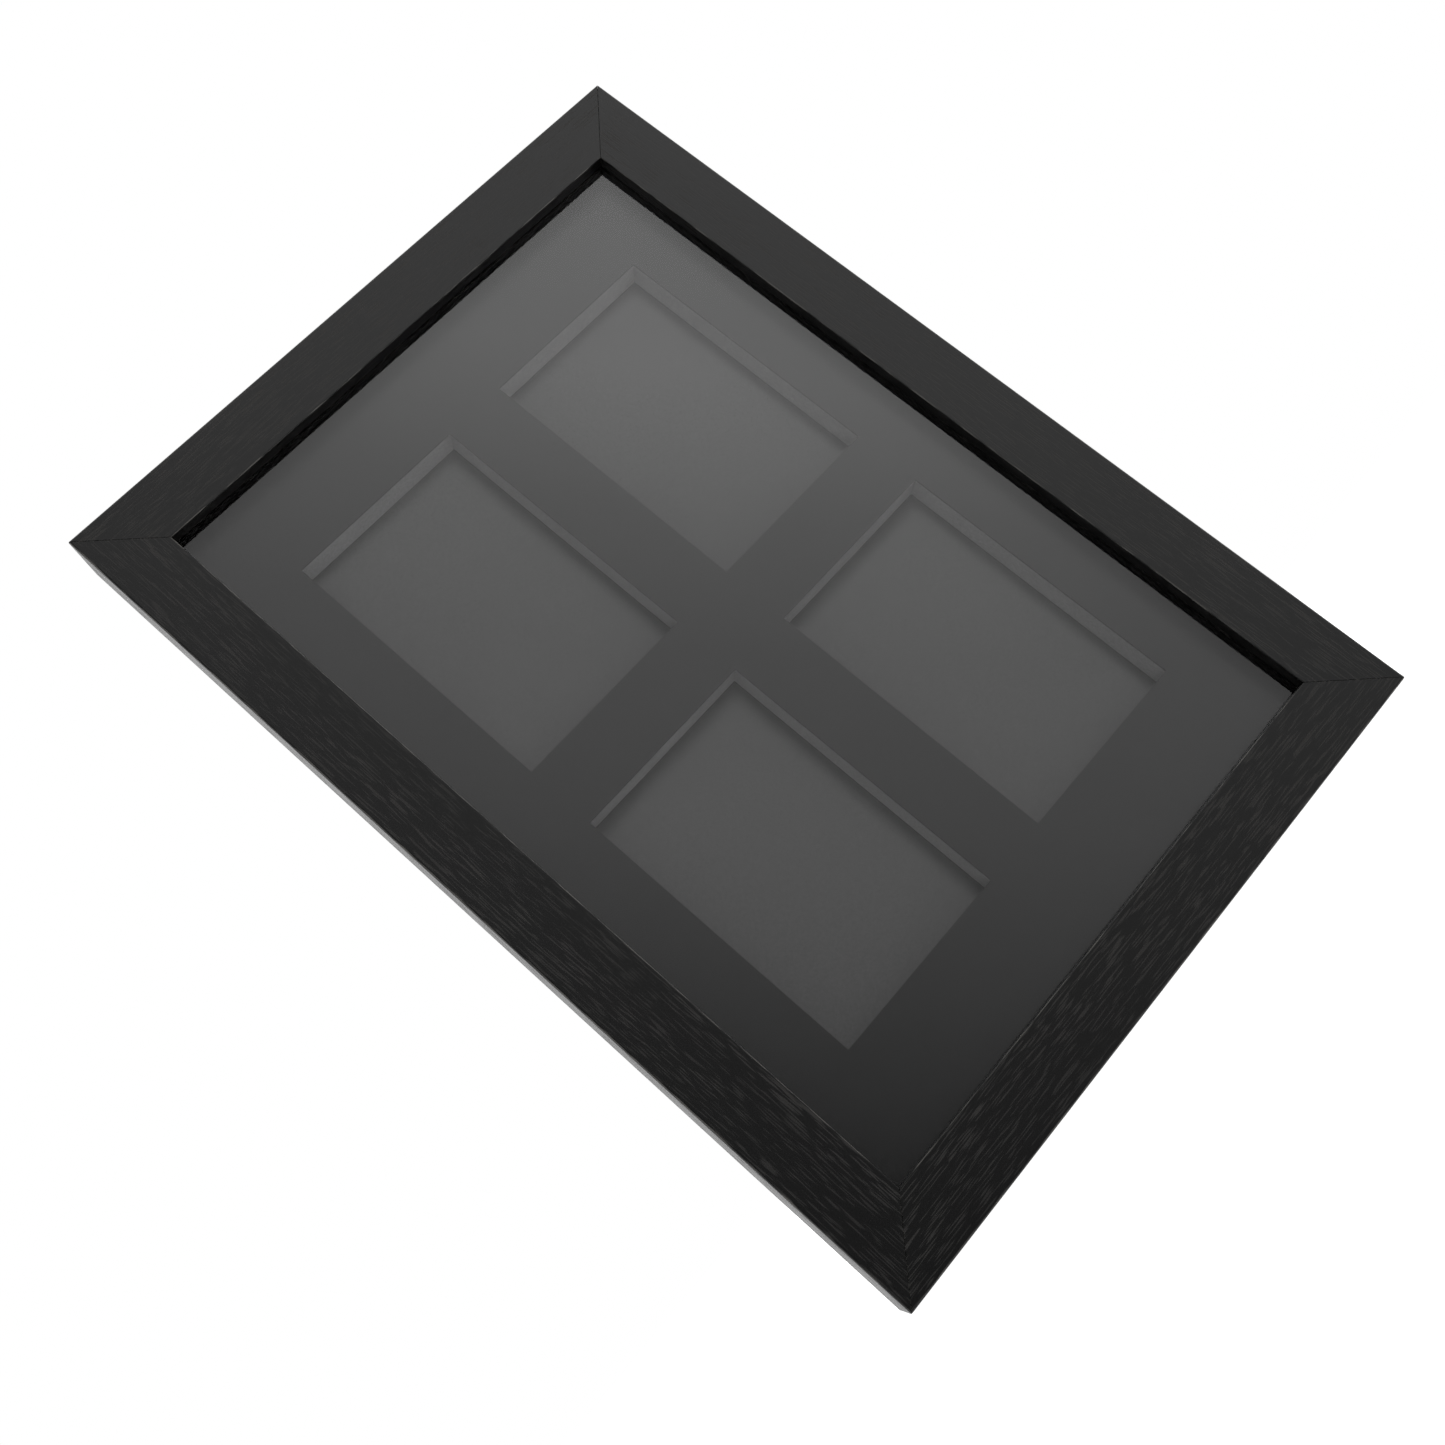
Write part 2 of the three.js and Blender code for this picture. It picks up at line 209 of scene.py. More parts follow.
def rounded_section(corners):
    """The outline through (width, depth, radius, paleness) corners, each rounded by an arc of that radius.

    Each arc has a point just before it and just after it, which keeps the flats beside it flat when
    shaded smooth. The paleness says how strongly the pale painted highlight and wear lie along that
    arris.
    """
    outline = []
    for i, (w, d, radius, edge_paleness) in enumerate(corners):
        here = Vector((w, d))
        before = (Vector(corners[i - 1][:2]) - here).normalized()
        after = (Vector(corners[(i + 1) % len(corners)][:2]) - here).normalized()
        centre = here + (before + after) * radius
        outline.append((here + before * (radius + LEAD_IN), 0.0))
        for step in range(ARC_STEPS + 1):
            turn = step / ARC_STEPS * math.pi / 2
            point = centre - after * radius * math.cos(turn) - before * radius * math.sin(turn)
            outline.append((point, edge_paleness * math.sin(2 * turn)))
        outline.append((here + after * (radius + LEAD_IN), 0.0))
    return outline


def moulding():
    # The last number of each corner is how pale its arris is painted, partly rubbed stain and partly painted
    # highlight; the lip's back edge gets the most, as painted highlight alone.
    return rounded_section([
        (0, 0, ARRIS, 0.5), (RAIL_WIDTH, 0, ARRIS / 2, 0.5), (RAIL_WIDTH, LIP_DEPTH, SMALL_ARRIS, 1.6),
        (BACK_WIDTH, LIP_DEPTH, SMALL_ARRIS, 0), (BACK_WIDTH, DEPTH, SMALL_ARRIS, 0.3),
        (0, DEPTH, ARRIS, 0.4)])


def inset_outline(outline, distance):
    """The same outline, moved in by a distance that is small beside its arcs."""
    moved = []
    for i, (point, _) in enumerate(outline):
        ahead = outline[(i + 1) % len(outline)][0] - outline[i - 1][0]
        # The eased mitre edge is painted 0.7 pale all round, a painted highlight along the joint line.
        moved.append((point + Vector((-ahead.y, ahead.x)).normalized() * distance, 0.7))
    return moved


def smooth_but_for_corners(mesh, angle=40):
    mesh.shade_smooth()
    mesh.set_sharp_from_angle(angle=math.radians(angle))


def mesh_object(name, mesh, material):
    piece = bpy.data.objects.new(name, mesh)
    bpy.context.scene.collection.objects.link(piece)
    piece.data.materials.append(material)
    return piece


def rail_mesh(length, place):
    """A mitred rail whose outer face starts at z = 0 in its own frame, then moved by the matrix `place`."""
    outer = moulding()
    eased = inset_outline(outer, EASE)
    bm = bmesh.new()
    arris = bm.verts.layers.float.new("arris")
    rings = []
    for end in (-1, 1):
        tip = [((end * (length / 2 - p.x - MITRE_GAP), p.y, p.x), edge_paleness) for p, edge_paleness in eased]
        body = [((end * (length / 2 - p.x - MITRE_GAP - EASE), p.y, p.x), edge_paleness) for p, edge_paleness in outer]
        for ring in (tip, body) if end < 0 else (body, tip):
            verts = []
            for (x, y, z), edge_paleness in ring:
                vert = bm.verts.new((x, FRONT + y, z))
                # How strongly the pale painted highlight and wear lie at this point.
                vert[arris] = edge_paleness
                verts.append(vert)
            rings.append(verts)
    for near, far in zip(rings, rings[1:]):
        for i in range(len(near)):
            bm.faces.new((near[i - 1], near[i], far[i], far[i - 1]))
    bm.faces.new(rings[0])
    bm.faces.new(list(reversed(rings[-1])))
    bmesh.ops.recalc_face_normals(bm, faces=bm.faces)
    bm.transform(place)
    mesh = bpy.data.meshes.new("rail")
    bm.to_mesh(mesh)
    bm.free()
    return mesh


def side_frame(name):
    """From a side's own frame, with Z towards the middle of the box, to the row frame."""
    spot = {"bottom": (MIDDLE.x, LOW), "left": (LEFT, MIDDLE.z),
            "top": (MIDDLE.x, HIGH), "right": (RIGHT, MIDDLE.z)}
    turn = {"bottom": 0, "left": 90, "top": 180, "right": -90}
    x, z = spot[name]
    return Matrix.Translation((x, 0, z)) @ Matrix.Rotation(math.radians(turn[name]), 4, "Y")


rails = {}
for side, length in {"bottom": WIDTH, "top": WIDTH, "left": HEIGHT, "right": HEIGHT}.items():
    material = ASH_ACROSS if side in ("bottom", "top") else ASH_UPRIGHT
    rail = mesh_object(f"stained_rail_{side}", rail_mesh(length, side_frame(side)), material)
    rails[side] = rail
    print(f"rail {side}: {len(rail.data.polygons)} faces")

# %% [markdown]
# The backs of the rails are cut with a slot for each corner nail. The slots are L-shaped, like the
# nails, and a Boolean modifier cuts them. It is applied at once, so a rail is a plain mesh again.

# %% Slots for the corner nails
V_NAILS = [name for name in nodes if name.startswith("v_nail_")]
SLOT_PLAY = 0.25 * MM
NAIL_SHEET = 0.8 * MM


def nail_slot(low, high):
    """A closed L-shaped bar for one corner nail, which reaches out past the backs of the rails."""
    sides = []
    for axis in (0, 2):
        outwards = 1 if high[axis] > MIDDLE[axis] else -1
        outer, inner = (high[axis], low[axis]) if outwards > 0 else (low[axis], high[axis])
        sides.append((outer + outwards * SLOT_PLAY, outer - outwards * (NAIL_SHEET + SLOT_PLAY),
                      inner - outwards * SLOT_PLAY))
    (x_out, x_sheet, x_end), (z_out, z_sheet, z_end) = sides
    outline = [(x_out, z_out), (x_end, z_out), (x_end, z_sheet),
               (x_sheet, z_sheet), (x_sheet, z_end), (x_out, z_end)]
    bm = bmesh.new()
    near, far = ([bm.verts.new((x, y, z)) for x, z in outline] for y in (low.y - SLOT_PLAY, BACK + MM))
    bm.faces.new(near)
    bm.faces.new(list(reversed(far)))
    for i in range(len(outline)):
        bm.faces.new((near[i], near[i - 1], far[i - 1], far[i]))
    bmesh.ops.recalc_face_normals(bm, faces=bm.faces)
    mesh = bpy.data.meshes.new("slot")
    bm.to_mesh(mesh)
    bm.free()
    return mesh_object("slot", mesh, ASH_ACROSS)


def cut_with(piece, cutters):
    for cutter in cutters:
        cut = piece.modifiers.new("cut", "BOOLEAN")
        cut.object = cutter
        cut.solver = "EXACT"
    finished = bpy.data.meshes.new_from_object(piece.evaluated_get(bpy.context.evaluated_depsgraph_get()))
    piece.modifiers.clear()
    piece.data = finished
    smooth_but_for_corners(piece.data)


slots = [nail_slot(*map(Vector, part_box(name))) for name in V_NAILS]
for rail in rails.values():
    cut_with(rail, slots)
for slot in slots:
    bpy.data.objects.remove(slot)

for side, rail in rails.items():
    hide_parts(f"rail_{side}")
    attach(rail, "frame")
print("faces after cutting:", [len(rail.data.polygons) for rail in rails.values()])

# %% [markdown]
# The glazing is clear cast acrylic, 2 mm thick. A sheet that thin shifts what lies behind it by
# less than the eye can see, so it is made of a clear shader and a nearly mirror-smooth gloss, and
# the Fresnel node shares them by angle. Each face mirrors about 4 % when seen square on, and more
# at a slant. The two images lie 2 mm apart, which the eye takes for one, so the face that a ray
# enters by mirrors for both, and the face that it leaves by is plain clear.

# %% Clear acrylic
ACRYLIC_IOR = 1.49
TWO_FACES = 1.92
POLISH = 0.03


def clear_acrylic():
    material, tree = start_material("cast acrylic, polished")
    one_face = add_node(tree, "ShaderNodeFresnel", {"IOR": ACRYLIC_IOR}).outputs[0]
    going_in = add_node(tree, "ShaderNodeMapRange", {
        "Value": add_node(tree, "ShaderNodeNewGeometry").outputs["Backfacing"],
        "To Min": TWO_FACES, "To Max": 0.0}).outputs[0]
    share = add_node(tree, "ShaderNodeMath", {
        0: one_face, 1: going_in}, operation="MULTIPLY", use_clamp=True)
    clear = add_node(tree, "ShaderNodeBsdfTransparent", {"Color": linear("#ffffff")}).outputs[0]
    gloss = add_node(tree, "ShaderNodeBsdfAnisotropic", {
        "Color": linear("#ffffff"), "Roughness": POLISH}).outputs[0]
    sheet = add_node(tree, "ShaderNodeMixShader", {"Fac": share.outputs[0], 1: clear, 2: gloss})
    finish_material(tree, sheet.outputs[0])
    return material


def dress(node, material):
    """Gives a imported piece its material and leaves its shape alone."""
    piece = nodes[node]
    piece.data.materials.clear()
    piece.data.materials.append(material)


dress("glazing", clear_acrylic())

# %% [markdown]
# The insert's face is a nearly black card with a slight sheen. Its core is a grey closed-cell foam
# that shows only where a knife cut the walls of the windows, and the floor of each window is a dark
# grey felt with a short nap. Each finish is a noise with the size of its real grain, which moves
# the colour a little and raises a fine bump.

# %% Paper, foam, felt and board
def grainy(name, dark, light, grain, relief, roughness, sheen=0.25):
    """A dull material: its colour drifts between two hex values in real grains, with a bump that deep."""
    material, tree = start_material(name)
    place = add_node(tree, "ShaderNodeTexCoord").outputs["Object"]
    tooth = add_node(tree, "ShaderNodeTexNoise", {
        "Vector": place, "Scale": 0.5 / grain, "Detail": 3.0, "Roughness": 0.65}).outputs["Fac"]
    colour = ramp(tree, tooth, [(0.3, linear(dark)), (0.7, linear(light))])
    bump = add_node(tree, "ShaderNodeBump", {"Height": tooth, "Strength": 0.5, "Distance": relief})
    surface = add_node(tree, "ShaderNodeBsdfPrincipled", {
        "Base Color": colour, "Roughness": roughness, "Specular IOR Level": sheen,
        "Normal": bump.outputs[0]})
    finish_material(tree, surface.outputs[0])
    return material


FACE_PAPER = grainy("black card, calendered", "#161616", "#1a1a1a", 0.4 * MM, 0.002 * MM, 0.33, 0.35)
CUT_FOAM = grainy("closed-cell foam, knife cut", "#828282", "#909090", 0.6 * MM, 0.06 * MM, 0.9)
FELT = grainy("grey felt, short nap", "#3e3e3e", "#464646", 0.5 * MM, 0.04 * MM, 1.0)
SPACER = grainy("polystyrene strip, extruded", "#141414", "#1a1a1a", 0.3 * MM, 0.02 * MM, 0.6)
FIBREBOARD = grainy("fibreboard, sanded", "#7f6446", "#8f7352", 0.7 * MM, 0.03 * MM, 0.85)

dress("insert_face", FACE_PAPER)
dress("insert_core", CUT_FOAM)
dress("floor_pad", FELT)
dress("back_board", FIBREBOARD)
for name in ("spacer_top", "spacer_bottom", "spacer_left", "spacer_right"):
    dress(name, SPACER)

# %% [markdown]
# The metal parts are cheap steel with thin finishes. Blackened sheet is nearly black with a soft
# shine, zinc plate is a cold light grey, and brass plate is a warm yellow. All three have a faint
# mottle, which changes how rough they are more than it changes their colour. The bumpers are
# moulded rubber, dull and dark.

# %% Metals and rubber
def plated(name, dark, light, roughness, mottle):
    """A metal whose colour and roughness both drift a little, in patches of the size `mottle`."""
    material, tree = start_material(name)
    place = add_node(tree, "ShaderNodeTexCoord").outputs["Object"]
    noise = add_node(tree, "ShaderNodeTexNoise", {
        "Vector": place, "Scale": 1 / mottle / 2, "Detail": 3.0, "Roughness": 0.6}).outputs["Fac"]
    rough = add_node(tree, "ShaderNodeMapRange", {
        "Value": noise, "From Min": 0.3, "From Max": 0.7,
        "To Min": roughness - 0.1, "To Max": roughness + 0.1}).outputs[0]
    colour = ramp(tree, noise, [(0.3, linear(dark)), (0.7, linear(light))])
    bump = add_node(tree, "ShaderNodeBump", {"Height": noise, "Strength": 0.2, "Distance": 0.01 * MM})
    surface = add_node(tree, "ShaderNodeBsdfPrincipled", {
        "Base Color": colour, "Metallic": 1.0, "Roughness": rough, "Normal": bump.outputs[0]})
    finish_material(tree, surface.outputs[0])
    return material


BLACK_STEEL = plated("blackened steel sheet", "#2c2c2f", "#3c3c40", 0.42, 1.2 * MM)
ZINC = plated("bright zinc plate", "#b8babd", "#c6c8cb", 0.3, 1.5 * MM)
BRASSED = plated("brass-plated steel", "#b3965a", "#bfa367", 0.3, 2.5 * MM)
RUBBER = grainy("rubber, moulded", "#242424", "#2c2c2c", 0.5 * MM, 0.03 * MM, 0.75)

# %% [markdown]
# Stamped sheet never has razor edges: the die rolls one side over and leaves a small burr on the
# other. The imported buttons and hangers have the right outline, so a copy of each gets its loose
# triangles merged, its flat faces cleaned up and its edges rounded by a Bevel modifier. The corner
# nails keep their imported shape and only get zinc plate.
# The rounded edge is what catches the light.

# %% Stamped pieces
STAMPED_EDGE = 0.18 * MM


def softened(node, name, material, edge):
    """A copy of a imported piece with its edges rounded."""
    bm = bmesh.new()
    bm.from_mesh(nodes[node].data)
    bmesh.ops.remove_doubles(bm, verts=bm.verts, dist=0.001 * MM)
    bmesh.ops.dissolve_limit(bm, angle_limit=math.radians(1), verts=bm.verts, edges=bm.edges)
    bmesh.ops.recalc_face_normals(bm, faces=bm.faces)
    mesh = bpy.data.meshes.new(name)
    bm.to_mesh(mesh)
    bm.free()
    piece = mesh_object(name, mesh, material)
    round_off = piece.modifiers.new("rolled edge", "BEVEL")
    round_off.width = edge
    round_off.segments = 2
    round_off.limit_method = "ANGLE"
    round_off.angle_limit = math.radians(40)
    finished = bpy.data.meshes.new_from_object(piece.evaluated_get(bpy.context.evaluated_depsgraph_get()))
    piece.modifiers.clear()
    piece.data = finished
    smooth_but_for_corners(piece.data)
    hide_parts(node)
    return piece


for name in nodes:
    if name.startswith("turn_button_screw"):
        continue
    if name.startswith("turn_button_"):
        place = name.removeprefix("turn_button_")
        button = softened(name, f"stamped_button_{place}", BLACK_STEEL, STAMPED_EDGE)
        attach(button, f"button_{place}")
    elif name.startswith("sawtooth_hanger_"):
        hanger = softened(name, name.replace("sawtooth", "stamped"), BRASSED, STAMPED_EDGE / 2)
        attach(hanger, "frame")
    elif name.startswith("v_nail_"):
        dress(name, ZINC)

# %% [markdown]
# Screws, nails and bumpers are all turned shapes that repeat, so each is made once, by spinning
# half its outline about its axis, and a Geometry Nodes tree sets it out on its seats. The tree also
# cuts the cross recess of a screw, with two bars and a Mesh Boolean, and gives every copy its own
# turn, because nobody lines up the slots of screws.

# %% The tree that sets out fasteners
ROUND_STEPS = 40


def setting_out_tree():
    tree = bpy.data.node_groups.new("fasteners on their seats", "GeometryNodeTree")
    tree.interface.new_socket("Piece", in_out="INPUT", socket_type="NodeSocketGeometry")
    for name, kind in (("Seats", "Object"), ("Has recess", "Bool"), ("Recess span", "Float"),
                       ("Recess width", "Float"), ("Recess depth", "Float"), ("Seed", "Int"),
                       ("Finish", "Material")):
        tree.interface.new_socket(name, in_out="INPUT", socket_type=f"NodeSocket{kind}")
    tree.interface.new_socket("Geometry", in_out="OUTPUT", socket_type="NodeSocketGeometry")
    given = add_node(tree, "NodeGroupInput").outputs
    deep = add_node(tree, "ShaderNodeMath", {
        0: given["Recess depth"], 1: 2.0}, operation="MULTIPLY").outputs[0]
    bars = []
    span, width = given["Recess span"], given["Recess width"]
    for across, along in ((span, width), (width, span)):
        size = add_node(tree, "ShaderNodeCombineXYZ", {"X": across, "Y": deep, "Z": along}).outputs[0]
        bars.append(add_node(tree, "GeometryNodeMeshCube", {"Size": size}).outputs["Mesh"])
    recessed = add_node(tree, "GeometryNodeMeshBoolean", {0: given["Piece"], 1: bars[0]},
                        operation="DIFFERENCE", solver="EXACT")
    tree.links.new(bars[1], recessed.inputs[1])
    piece = add_node(tree, "GeometryNodeSwitch", {
        "Switch": given["Has recess"], "False": given["Piece"],
        "True": recessed.outputs[0]}, input_type="GEOMETRY")
    turn = add_node(tree, "FunctionNodeRandomValue", {
        3: math.pi, "Seed": given["Seed"]}, data_type="FLOAT").outputs[1]
    turned_by = add_node(tree, "ShaderNodeCombineXYZ", {"Y": turn}).outputs[0]
    seats = add_node(tree, "GeometryNodeObjectInfo", {"Object": given["Seats"]}).outputs["Geometry"]
    copies = add_node(tree, "GeometryNodeInstanceOnPoints", {
        "Points": seats, "Instance": piece.outputs[0], "Rotation": turned_by}).outputs[0]
    real = add_node(tree, "GeometryNodeRealizeInstances", {0: copies}).outputs[0]
    dressed = add_node(tree, "GeometryNodeSetMaterial", {
        "Geometry": real, "Material": given["Finish"]}).outputs[0]
    add_node(tree, "NodeGroupOutput", {"Geometry": dressed})
    return tree


SETTING_OUT = setting_out_tree()


def turned_mesh(profile):
    """Spins (radius, height) points, listed from axis to axis, about Y. The top is at y = 0."""
    bm = bmesh.new()
    poles = [bm.verts.new((0, profile[end][1], 0)) for end in (0, -1)]
    rings = []
    for radius, height in profile[1:-1]:
        angles = [2 * math.pi * i / ROUND_STEPS for i in range(ROUND_STEPS)]
        rings.append([bm.verts.new((radius * math.cos(a), height, radius * math.sin(a))) for a in angles])
    for i in range(ROUND_STEPS):
        bm.faces.new((poles[0], rings[0][i - 1], rings[0][i]))
        bm.faces.new((poles[1], rings[-1][i], rings[-1][i - 1]))
        for low, high in zip(rings, rings[1:]):
            bm.faces.new((low[i - 1], high[i - 1], high[i], low[i]))
    bmesh.ops.recalc_face_normals(bm, faces=bm.faces)
    mesh = bpy.data.meshes.new("turned")
    bm.to_mesh(mesh)
    bm.free()
    return mesh


def set_out(name, prefix, profile, material, seed, recess=None):
    """One mesh of all the pieces whose nodes start with that prefix, each at the outer end of its node."""
    replaced = [node for node in nodes if node.startswith(prefix)]
    seats = bpy.data.meshes.new("seats")
    centres = []
    for node in replaced:
        low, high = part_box(node)
        centres.append(((low[0] + high[0]) / 2, high[1], (low[2] + high[2]) / 2))
    seats.from_pydata(centres, [], [])
    seat_object = mesh_object("seats", seats, material)
    piece = mesh_object(name, turned_mesh(profile), material)
    modifier = piece.modifiers.new("set out", "NODES")
    modifier.node_group = SETTING_OUT
    span, width, depth = recess or (MM, MM, MM)
    values = {"Seats": seat_object, "Has recess": recess is not None, "Recess span": span,
              "Recess width": width, "Recess depth": depth, "Seed": seed, "Finish": material}
    for item in SETTING_OUT.interface.items_tree:
        if item.in_out == "INPUT" and item.name in values:
            modifier[item.identifier] = values[item.name]
    finished = bpy.data.meshes.new_from_object(piece.evaluated_get(bpy.context.evaluated_depsgraph_get()))
    piece.modifiers.clear()
    piece.data = finished
    bpy.data.objects.remove(seat_object)
    smooth_but_for_corners(piece.data, 30)
    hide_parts(*replaced)
    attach(piece, "frame")
    print(f"{name}: {len(replaced)} pieces, {len(finished.polygons)} faces")


def arc(centre, radius, start, end, steps):
    """(radius, height) points on an arc, with its angles in degrees from the outward direction."""
    turns = [math.radians(start + (end - start) * i / steps) for i in range(steps + 1)]
    return [(centre[0] + radius * math.cos(t), centre[1] + radius * math.sin(t)) for t in turns]


# %% [markdown]
# The button screws are pan heads: a low drum whose upper edge is rounded over, on a pointed shank.
# The nails of the hangers have flat heads with a small chamfer. A bumper is a rubber dome with a
# flat top. Each profile starts at the tip, on the axis, and ends on the axis at the top of the
# head.

# %% Screws, nails and bumpers
def node_size(node):
    low, high = (Vector(corner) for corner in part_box(node))
    return high - low


screw_size = node_size("turn_button_screw_top_a")
SCREW_HEAD, SCREW_LENGTH = screw_size.x / 2, screw_size.y
HEAD_HEIGHT, HEAD_ROUND, SCREW_SHANK, UNDERCUT = 1.4 * MM, 0.9 * MM, 1.5 * MM, 0.1 * MM
RECESS_SPAN, RECESS_WIDTH, RECESS_DEPTH = 3.4 * MM, 0.75 * MM, 0.8 * MM
screw_profile = [(0, -SCREW_LENGTH), (SCREW_SHANK, 2 * SCREW_SHANK - SCREW_LENGTH)]
screw_profile += [(SCREW_SHANK, -HEAD_HEIGHT), (SCREW_HEAD - UNDERCUT, -HEAD_HEIGHT)]
screw_profile += [(SCREW_HEAD, UNDERCUT - HEAD_HEIGHT)]
screw_profile += arc((SCREW_HEAD - HEAD_ROUND, -HEAD_ROUND), HEAD_ROUND, 0, 85, 7) + [(0, 0)]
set_out("button_screws", "turn_button_screw_", screw_profile, ZINC, 3,
        recess=(RECESS_SPAN, RECESS_WIDTH, RECESS_DEPTH))

nail_size = node_size("hanger_nail_top_a")
NAIL_HEAD, NAIL_LENGTH = nail_size.x / 2, nail_size.y
NAIL_HEAD_HEIGHT, NAIL_SHANK, NAIL_EDGE = 0.6 * MM, 0.8 * MM, 0.3 * MM
nail_profile = [(0, -NAIL_LENGTH), (NAIL_SHANK, 2 * NAIL_SHANK - NAIL_LENGTH)]
nail_profile += [(NAIL_SHANK, -NAIL_HEAD_HEIGHT), (NAIL_HEAD, -NAIL_HEAD_HEIGHT)]
nail_profile += arc((NAIL_HEAD - NAIL_EDGE, -NAIL_EDGE), NAIL_EDGE, 0, 80, 4) + [(0, 0)]
set_out("hanger_nails", "hanger_nail_", nail_profile, BRASSED, 5)

bumper_size = node_size("bumper_left_a")
BUMPER_RADIUS, BUMPER_HEIGHT = bumper_size.x / 2, bumper_size.y
BUMPER_ROUND, BUMPER_FOOT = 1.2 * MM, 0.2 * MM
bumper_profile = [(0, -BUMPER_HEIGHT), (BUMPER_RADIUS - BUMPER_FOOT, -BUMPER_HEIGHT)]
bumper_profile += [(BUMPER_RADIUS, BUMPER_FOOT - BUMPER_HEIGHT)]
bumper_profile += arc((BUMPER_RADIUS - BUMPER_ROUND, -BUMPER_ROUND), BUMPER_ROUND, 0, 88, 8) + [(0, 0)]
set_out("bumpers", "bumper_", bumper_profile, RUBBER, 7)

# %% [markdown]
# A glossy black thing is lit by what it mirrors. The room is dim low down on the left, where the
# viewer stands, and grows brighter up to the right, where the windows of the room are. Behind the
# box, far to the left and far below, it is white. So the glazing mirrors a slow fade from corner to
# corner, and where the fade is dim the insert shows through. Camera rays see plain white. Rays that
# leave the box for the dim side must not be cut off by the bright floor, so the floor is clear to
# glossy rays, and they see the room that lies behind it.

# %% World
BRIGHT_SIDE = (0.8, 0.0, 0.6)
ROOM_FADE = [(0.02, 0.04), (0.12, 0.20), (0.27, 0.45), (0.38, 0.55),
             (0.46, 0.75), (0.54, 1.10), (0.64, 1.22)]
BRIGHTEST = 1.22
FILL = 0.36


def white_room():
    world = bpy.data.worlds.new("white room")
    world.use_nodes = True
    tree = world.node_tree
    tree.nodes.clear()
    direction = add_node(tree, "ShaderNodeTexCoord").outputs["Generated"]
    towards = add_node(tree, "ShaderNodeVectorMath", {0: direction, 1: BRIGHT_SIDE}, operation="DOT_PRODUCT")
    room = ramp(tree, towards.outputs["Value"], [(at, grey(level / BRIGHTEST)) for at, level in ROOM_FADE])
    part = add_node(tree, "ShaderNodeSeparateXYZ", {0: direction}).outputs
    for axis, dim_end, white_end in (("Y", -0.45, 0.1), ("X", -0.6, -0.95), ("Z", -0.5, -0.85)):
        share = add_node(tree, "ShaderNodeMapRange", {
            "Value": part[axis], "From Min": dim_end, "From Max": white_end},
            interpolation_type="SMOOTHSTEP")
        room = add_node(tree, "ShaderNodeMix", {
            "Factor": share.outputs[0], 6: room, 7: grey(1 / BRIGHTEST)}, data_type="RGBA").outputs[2]
    path = add_node(tree, "ShaderNodeLightPath").outputs
    lit = add_node(tree, "ShaderNodeMix", {
        "Factor": path["Is Diffuse Ray"], 6: room, 7: grey(FILL / BRIGHTEST)}, data_type="RGBA").outputs[2]
    seen = add_node(tree, "ShaderNodeMix", {
        "Factor": path["Is Camera Ray"], 6: lit, 7: grey(1 / BRIGHTEST)}, data_type="RGBA").outputs[2]
    background = add_node(tree, "ShaderNodeBackground", {"Color": seen, "Strength": BRIGHTEST})
    add_node(tree, "ShaderNodeOutputWorld", {"Surface": background.outputs[0]})
    bpy.context.scene.world = world


white_room()

# %% [markdown]
# A large soft lamp in front gives the direction of the light. It stands up to the right, so the
# walls of each window throw a soft shadow on the floor beside them. A second one, behind, lights
# the back. A lamp this size would show as a bright square in the glazing, so glossy rays don't see
# either. Their power is worked out from the level that a white card facing them should have. The
# floor glows for the camera alone, so that it runs into the background.

# %% Lamp
LAMP_SIZE = 0.6
LAMP_DISTANCE = 1.6
LAMP_LEVEL = 0.75


def soft_lamp(name, towards, level):
    direction = Vector(towards).normalized()
    data = bpy.data.lights.new(name, "AREA")
    data.size = LAMP_SIZE
    data.energy = level * math.pi ** 2 * LAMP_DISTANCE ** 2
    lamp = bpy.data.objects.new(name, data)
    bpy.context.scene.collection.objects.link(lamp)
    lamp.location = MIDDLE + direction * LAMP_DISTANCE
    lamp.rotation_euler = direction.to_track_quat("Z", "Y").to_euler()
    lamp.visible_glossy = False
    return lamp


soft_lamp("front lamp", (0.30, -0.90, 0.30), LAMP_LEVEL)
soft_lamp("back lamp", (-0.45, 0.75, 0.55), LAMP_LEVEL)

# %% Floor
FLOOR_REACH = 3.0
FLOOR_LIFT = 0.7
FLOOR_GREY = 0.82


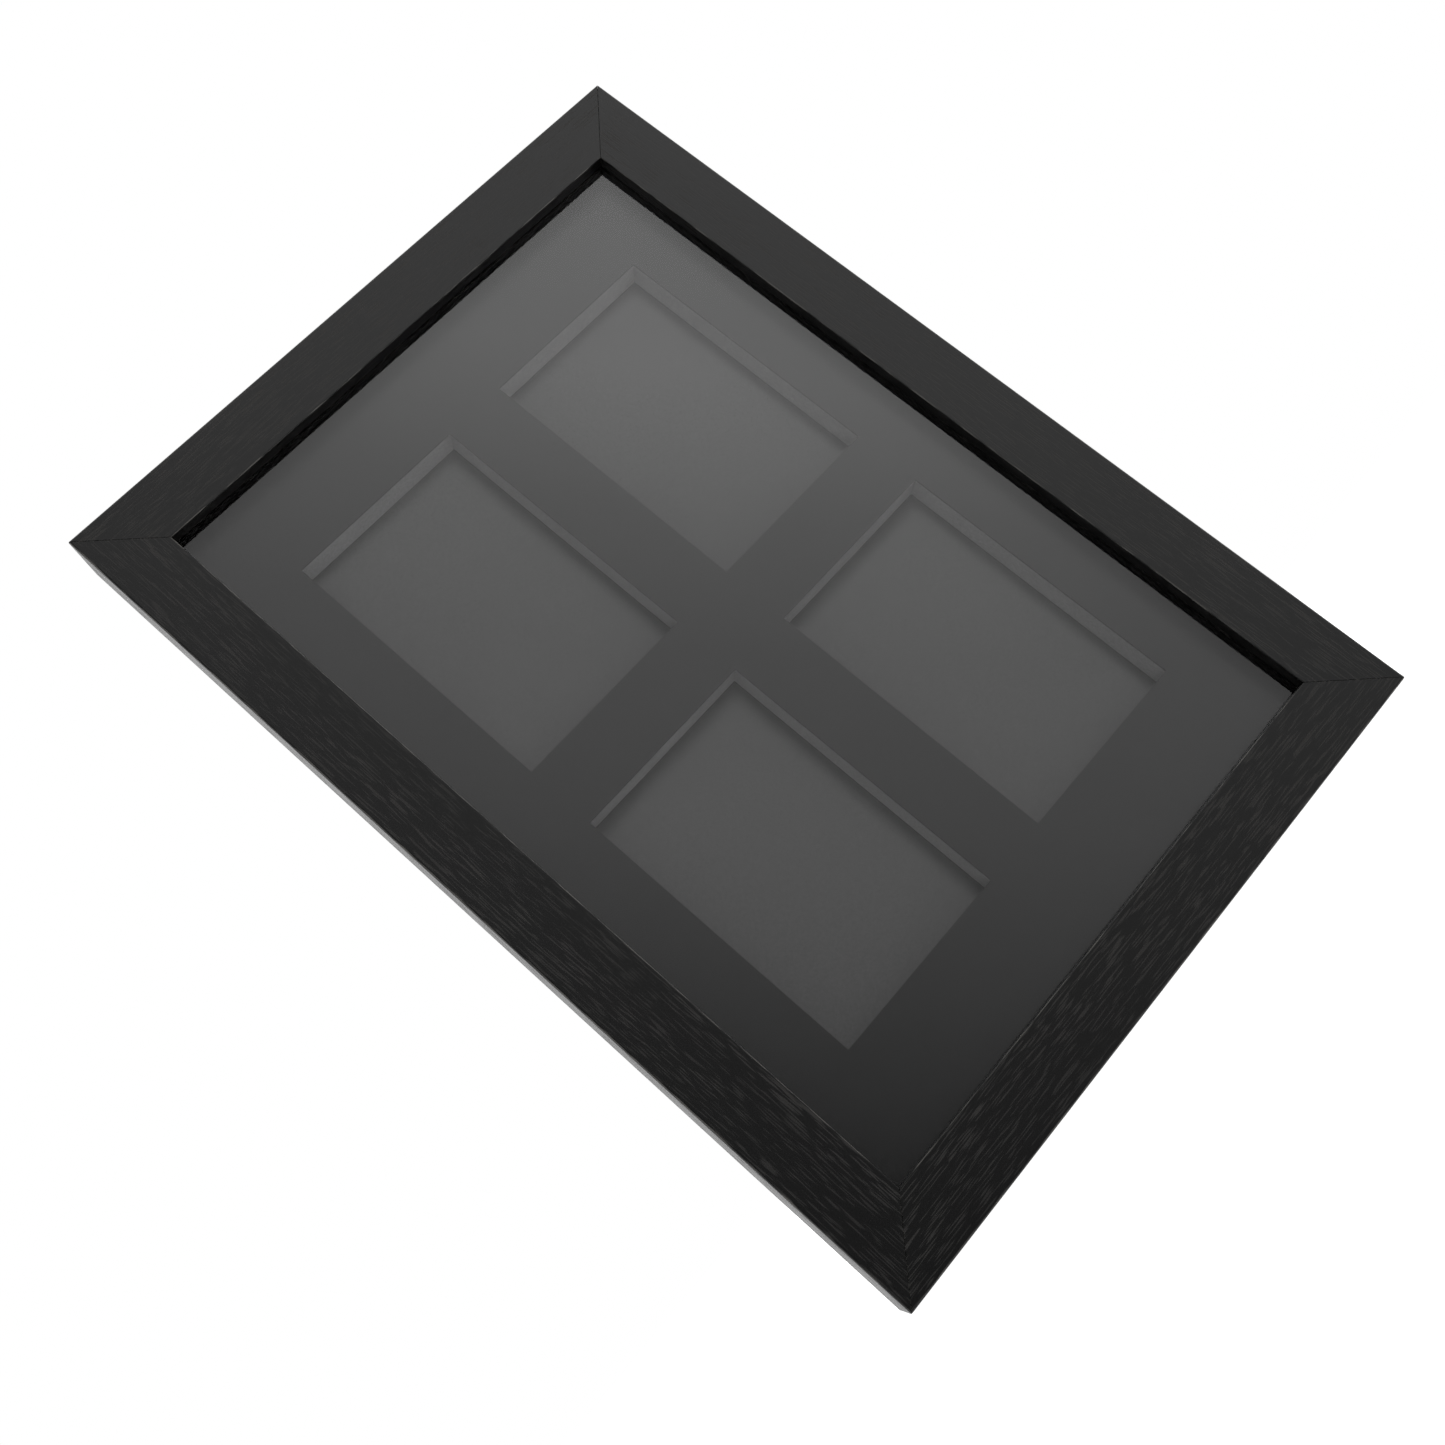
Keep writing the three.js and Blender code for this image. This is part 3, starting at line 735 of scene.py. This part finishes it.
def pale_floor():
    material, tree = start_material("pale floor")
    path = add_node(tree, "ShaderNodeLightPath").outputs
    lift = add_node(tree, "ShaderNodeMath", {
        0: path["Is Camera Ray"], 1: FLOOR_LIFT}, operation="MULTIPLY").outputs[0]
    paint = add_node(tree, "ShaderNodeBsdfDiffuse", {"Color": grey(FLOOR_GREY)}).outputs[0]
    glow = add_node(tree, "ShaderNodeEmission", {"Color": grey(1.0), "Strength": lift}).outputs[0]
    both = add_node(tree, "ShaderNodeAddShader", {0: paint, 1: glow}).outputs[0]
    clear = add_node(tree, "ShaderNodeBsdfTransparent").outputs[0]
    ground = add_node(tree, "ShaderNodeMixShader", {"Fac": path["Is Glossy Ray"], 1: both, 2: clear})
    finish_material(tree, ground.outputs[0])
    bm = bmesh.new()
    corners = [(-1, -1), (1, -1), (1, 1), (-1, 1)]
    bm.faces.new([bm.verts.new((x * FLOOR_REACH, y * FLOOR_REACH, LOW)) for x, y in corners])
    mesh = bpy.data.meshes.new("floor")
    bm.to_mesh(mesh)
    bm.free()
    floor = mesh_object("floor", mesh, material)


pale_floor()

# %% [markdown]
# The camera is 7 cm above the floor, half a metre in front of the box and 3 cm to its left. It is
# turned about its own axis, so that the box lies across the picture with its top at the upper left.

# %% Camera
LENS, SENSOR = 36.43, 36.0
CAMERA_LEFT, CAMERA_AHEAD, CAMERA_UP = 29.5 * MM, 514.5 * MM, 69.0 * MM
AIM_IN, AIM_UP = 113.0 * MM, 182.0 * MM
ROLL = math.radians(50.1)


def place_camera():
    data = bpy.data.cameras.new("camera")
    data.lens = LENS
    data.sensor_width = SENSOR
    camera = bpy.data.objects.new("camera", data)
    bpy.context.scene.collection.objects.link(camera)
    camera.location = (LEFT - CAMERA_LEFT, FRONT - CAMERA_AHEAD, LOW + CAMERA_UP)
    aim = Vector((LEFT + AIM_IN, FRONT, LOW + AIM_UP))
    level = (aim - camera.location).to_track_quat("-Z", "Y").to_matrix()
    camera.rotation_mode = "QUATERNION"
    camera.rotation_quaternion = (level @ Matrix.Rotation(-ROLL, 3, "Z")).to_quaternion()
    bpy.context.scene.camera = camera


place_camera()
bpy.context.scene.view_settings.view_transform = "Standard"
